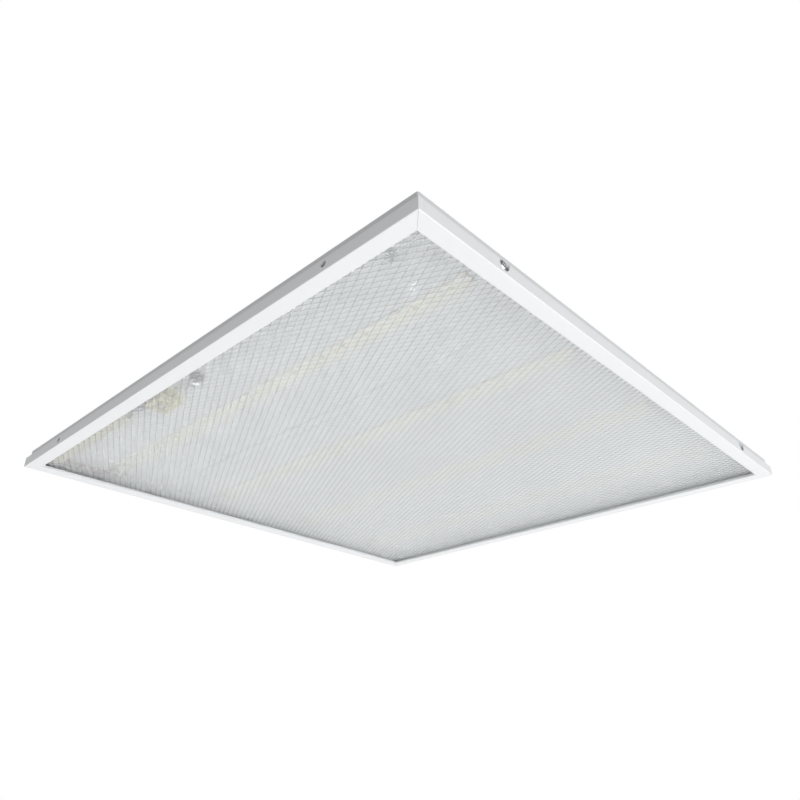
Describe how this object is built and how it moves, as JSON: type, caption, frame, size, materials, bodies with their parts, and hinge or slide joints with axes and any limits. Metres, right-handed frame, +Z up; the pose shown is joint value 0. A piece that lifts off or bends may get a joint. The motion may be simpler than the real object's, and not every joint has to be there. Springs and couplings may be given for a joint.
{
  "type": "recessed troffer light",
  "caption": "Square recessed ceiling panel light: shallow steel tray with LED strips behind a clear prismatic diffuser, held by a slim mitred bezel that lowers on side screws.",
  "frame": {"origin": "centre of the bezel's lower face, the face seen from the room", "axes": "+Z up, out of the tray's back; X and Y along the bezel's sides, with the driver beside the -X side and the screwed walls facing -Y and +Y"},
  "size_m": [0.595, 0.595, 0.0206],
  "materials": {
    "white_powder": "satin white powder coat",
    "zinc": "bright zinc plated",
    "lens": "clear prismatic",
    "board": "cream lacquer",
    "phosphor": "yellow phosphor, unlit",
    "white_nylon": "natural white",
    "white_lead": "white insulation",
    "red_lead": "red insulation",
    "black_lead": "black insulation",
    "brown_lead": "brown insulation",
    "blue_lead": "blue insulation",
    "earth_cover": "green and yellow insulation",
    "driver_shell": "fine texture",
    "block_shell": "satin",
    "brass": "machined",
    "seal": "matt"
  },
  "bodies": {
    "housing": {"tray": "white_powder", "led_strip_1": "board", "led_chips_1": "phosphor", "led_strip_2": "board", "led_chips_2": "phosphor", "led_strip_3": "board", "led_chips_3": "phosphor", "led_strip_4": "board", "led_chips_4": "phosphor", "jumper_leads_1": "white_lead", "jumper_leads_2": "white_lead", "jumper_leads_3": "white_lead", "strip_rivets": "white_nylon", "strip_sockets": "white_nylon", "output_lead_positive": "red_lead", "output_lead_negative": "black_lead", "driver_case": "driver_shell", "driver_lid": "driver_shell", "driver_screws": "zinc", "terminal_block": "block_shell", "terminal_screws": "brass", "terminal_fixing": "zinc", "line_lead": "brown_lead", "neutral_lead": "blue_lead", "earth_stud": "zinc", "earth_washer": "zinc", "earth_tag": "zinc", "earth_nut": "zinc", "earth_lead": "earth_cover", "cable_grommet": "seal", "cable_clamp": "white_nylon", "clamp_screws": "zinc", "side_nuts": "zinc"},
    "bezel_cover": {"bezel_rail_front": "white_powder", "bezel_rail_rear": "white_powder", "bezel_rail_left": "white_powder", "bezel_rail_right": "white_powder", "corner_key_1": "zinc", "corner_key_2": "zinc", "corner_key_3": "zinc", "corner_key_4": "zinc", "diffuser": "lens"},
    "side_screw_1": {"side_screw_1": "zinc"},
    "side_screw_2": {"side_screw_2": "zinc"},
    "side_screw_3": {"side_screw_3": "zinc"},
    "side_screw_4": {"side_screw_4": "zinc"}
  },
  "joints": [
    {"name": "cover_drop", "type": "slide", "parent": "housing", "child": "bezel_cover", "axis": [0, 0, -1], "range_m": [0, 0.06]},
    {"name": "side_screw_1_back_out", "type": "slide", "parent": "housing", "child": "side_screw_1", "axis": [0, -1, 0], "range_m": [0, 0.003]},
    {"name": "side_screw_2_back_out", "type": "slide", "parent": "housing", "child": "side_screw_2", "axis": [0, -1, 0], "range_m": [0, 0.003]},
    {"name": "side_screw_3_back_out", "type": "slide", "parent": "housing", "child": "side_screw_3", "axis": [0, 1, 0], "range_m": [0, 0.003]},
    {"name": "side_screw_4_back_out", "type": "slide", "parent": "housing", "child": "side_screw_4", "axis": [0, 1, 0], "range_m": [0, 0.003]}
  ]
}
